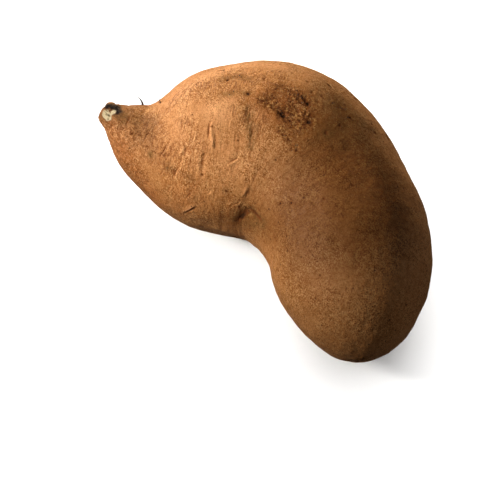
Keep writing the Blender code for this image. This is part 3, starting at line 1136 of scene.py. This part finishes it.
def grow_rootlet(bm, root, direction, bend, length, thickness):
    """One thin rootlet: a small ring drawn out along a bending line and closed to a point."""
    heading = direction.normalized()
    turn = Vector((0, 0, 1)).rotation_difference(heading).to_matrix().to_4x4()
    start = Matrix.Translation(root - heading * ROOTLET_SINK) @ turn
    ring = bmesh.ops.create_circle(
        bm, cap_ends=True, segments=ROOTLET_SIDES, radius=thickness / 2, matrix=start
    )["verts"]
    edges = [edge for edge in bm.edges if all(v in ring for v in edge.verts)]
    middle = start.translation.copy()
    for number in range(ROOTLET_STEPS):
        grown = bmesh.ops.extrude_edge_only(bm, edges=edges)["geom"]
        ring = [item for item in grown if isinstance(item, bmesh.types.BMVert)]
        new_edges = [item for item in grown if isinstance(item, bmesh.types.BMEdge)]
        edges = [edge for edge in new_edges if all(v in ring for v in edge.verts)]
        heading = (heading + bend / ROOTLET_STEPS).normalized()
        move = heading * (length + ROOTLET_SINK) / ROOTLET_STEPS
        middle = middle + move
        bmesh.ops.translate(bm, verts=ring, vec=move)
        thin = ROOTLET_TIP_THINNING if number > ROOTLET_STEPS / 2 else ROOTLET_THINNING
        bmesh.ops.scale(bm, verts=ring, vec=(thin, thin, thin), space=Matrix.Translation(-middle))
    bmesh.ops.pointmerge(bm, verts=ring, merge_co=middle)


def make_rootlets(skin):
    """The hair on the neck and the finer ones beside it, with a few more on the hidden sides."""
    chance = random.Random(SEED + 1)
    bm = bmesh.new()
    rise = photo_direction(*NECK_ROOTLET_RISE)
    right = photo_axes()[1]
    for pixel, length, thickness, lean in NECK_ROOTLETS:
        grow_rootlet(bm, skin.at(pixel), rise, right * lean, length * MM, thickness * MM)
    for _ in range(HIDDEN_ROOTLETS):
        guess = Vector(drawn(chance, HIDDEN_ROOTLET_BOX)) * MM
        root, outward = skin.near(guess)
        sideways = Vector([chance.uniform(-1, 1) for _ in range(3)])
        length = chance.uniform(*HIDDEN_ROOTLET_LENGTH) * MM
        thickness = chance.uniform(*HIDDEN_ROOTLET_THICKNESS) * MM
        direction = outward + sideways * HIDDEN_ROOTLET_LEAN
        grow_rootlet(bm, root, direction, sideways * HIDDEN_ROOTLET_BEND, length, thickness)
    bmesh.ops.recalc_face_normals(bm, faces=bm.faces)
    return finished_piece("rootlets", bm, rootlet_bark())


def make_soil_crumbs(skin):
    """Small crumbs of soil that sit in the scars."""
    chance = random.Random(SEED + 2)
    bm = bmesh.new()
    scars = [(place, radius * MM) for places, radius, _ in on_skin(skin, ROUGH_SCARS) for place in places]
    for _ in range(SOIL_CRUMBS):
        middle, radius = chance.choice(scars)
        guess = middle + Vector([chance.gauss(0, CRUMB_SCATTER) for _ in range(3)]) * radius
        root, outward = skin.near(guess)
        size = min(chance.lognormvariate(CRUMB_SIZE, CRUMB_VARIETY), LARGEST_CRUMB) * MM
        angle = chance.uniform(0, math.tau)
        turn = Matrix.Rotation(angle, 4, Vector((chance.random(), chance.random(), 1)))
        width, height = size * chance.uniform(*CRUMB_WIDTHS), size * chance.uniform(*CRUMB_HEIGHTS)
        place = Matrix.Translation(root - outward * size * CRUMB_SINK) @ turn
        crumb = bmesh.ops.create_icosphere(
            bm, subdivisions=1, radius=1.0, matrix=place @ Matrix.Diagonal((size, width, height, 1.0))
        )["verts"]
        for corner in crumb:
            corner.co += Vector([chance.uniform(-1, 1) for _ in range(3)]) * size * CRUMB_ROUGHNESS
    bmesh.ops.recalc_face_normals(bm, faces=bm.faces)
    return finished_piece("soil_crumbs", bm, dry_soil())


def finished_piece(name, bm, material):
    """A piece from a bmesh: its faces smooth, its material on it, and its object at the origin."""
    mesh = bpy.data.meshes.new(name)
    bm.to_mesh(mesh)
    bm.free()
    mesh.shade_smooth()
    mesh.materials.append(material)
    piece = bpy.data.objects.new(name, mesh)
    bpy.context.scene.collection.objects.link(piece)
    return piece


def make_floor():
    """A plain pale floor, wide enough for every view, that throws no light back on the tuber."""
    bm = bmesh.new()
    bmesh.ops.create_grid(bm, x_segments=1, y_segments=1, size=FLOOR_HALF)
    material = bpy.data.materials.new("pale_floor")
    material.use_nodes = True
    shader = material.node_tree.nodes["Principled BSDF"]
    shader.inputs["Base Color"].default_value = (*FLOOR_PALE, 1.0)
    shader.inputs["Roughness"].default_value = FLOOR_ROUGHNESS
    shader.inputs["Specular IOR Level"].default_value = FLOOR_SPECULAR
    floor = finished_piece("floor", bm, material)
    floor.visible_diffuse = False
    floor.visible_glossy = False
    return floor


def add_light(name, place, aim, size, watts, colour=LAMP_WARM, spread=180.0):
    """A soft square lamp at a place, which faces another place. A smaller spread keeps its light together."""
    data = bpy.data.lights.new(name, "AREA")
    data.size = size
    data.energy = watts
    data.color = colour
    data.spread = math.radians(spread)
    lamp = bpy.data.objects.new(name, data)
    lamp.visible_camera = False
    lamp.location = place
    lamp.rotation_euler = (place - aim).to_track_quat("Z", "Y").to_euler()
    bpy.context.scene.collection.objects.link(lamp)
    return lamp


def add_lights(floor, skin):
    """Two soft lamps from the photograph's left and rear, a narrow one on the thin end, a weak one from the
    right, a weak glow all round, and a wash for the floor alone.
    """
    middle = (CAD_BOX[0] + CAD_BOX[1]) / 2
    aims = {"key": middle, "rear": middle, "front": skin.at(FRONT_LIGHT_PX)}
    lamps = {}
    for name, (way, distance, size, watts, spread) in LAMPS.items():
        place = aims[name] + photo_direction(*way) * distance
        lamps[name] = add_light(name, place, aims[name], size, watts, spread=spread)
    lamps["rear"].visible_glossy = False
    low_right = photo_axes()[1] + Vector((0.0, 0.0, SIDE_LAMP_RISE))
    add_light("right", middle + low_right * SIDE_LAMP_DISTANCE, middle, SIDE_LAMP_SIZE, SIDE_LAMP_WATTS)

    above = Vector((0.0, 0.0, FLOOR_LAMP_HEIGHT))
    wash = add_light("floor_wash", above, middle, FLOOR_LAMP_SIZE, FLOOR_LAMP_WATTS, LAMP_WHITE)
    wash.light_linking.receiver_collection = bpy.data.collections.new("floor_wash_receivers")
    wash.light_linking.receiver_collection.objects.link(floor)

    world = bpy.data.worlds.new("studio")
    world.use_nodes = True
    world.node_tree.nodes["Background"].inputs["Color"].default_value = ROOM_COLOUR
    world.node_tree.nodes["Background"].inputs["Strength"].default_value = ROOM_STRENGTH
    bpy.context.scene.world = world
    bpy.context.scene.view_settings.view_transform = "Standard"


def add_camera():
    """The camera that took the photograph, as far as the tuber's outline tells."""
    place, right, up, back = photo_axes()
    data = bpy.data.cameras.new("camera")
    data.lens = LENS_MM
    data.sensor_width = SENSOR_MM
    camera = bpy.data.objects.new("camera", data)
    turn = Matrix((right, up, back)).transposed().to_4x4()
    camera.matrix_world = Matrix.Translation(place) @ turn
    bpy.context.scene.collection.objects.link(camera)
    bpy.context.scene.camera = camera


def main():
    skin_piece, skin = make_skin(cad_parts["tuber"])
    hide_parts("tuber")
    for piece in (skin_piece, make_rootlets(skin), make_soil_crumbs(skin)):
        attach(piece, "root")
    add_lights(make_floor(), skin)
    add_camera()


main()
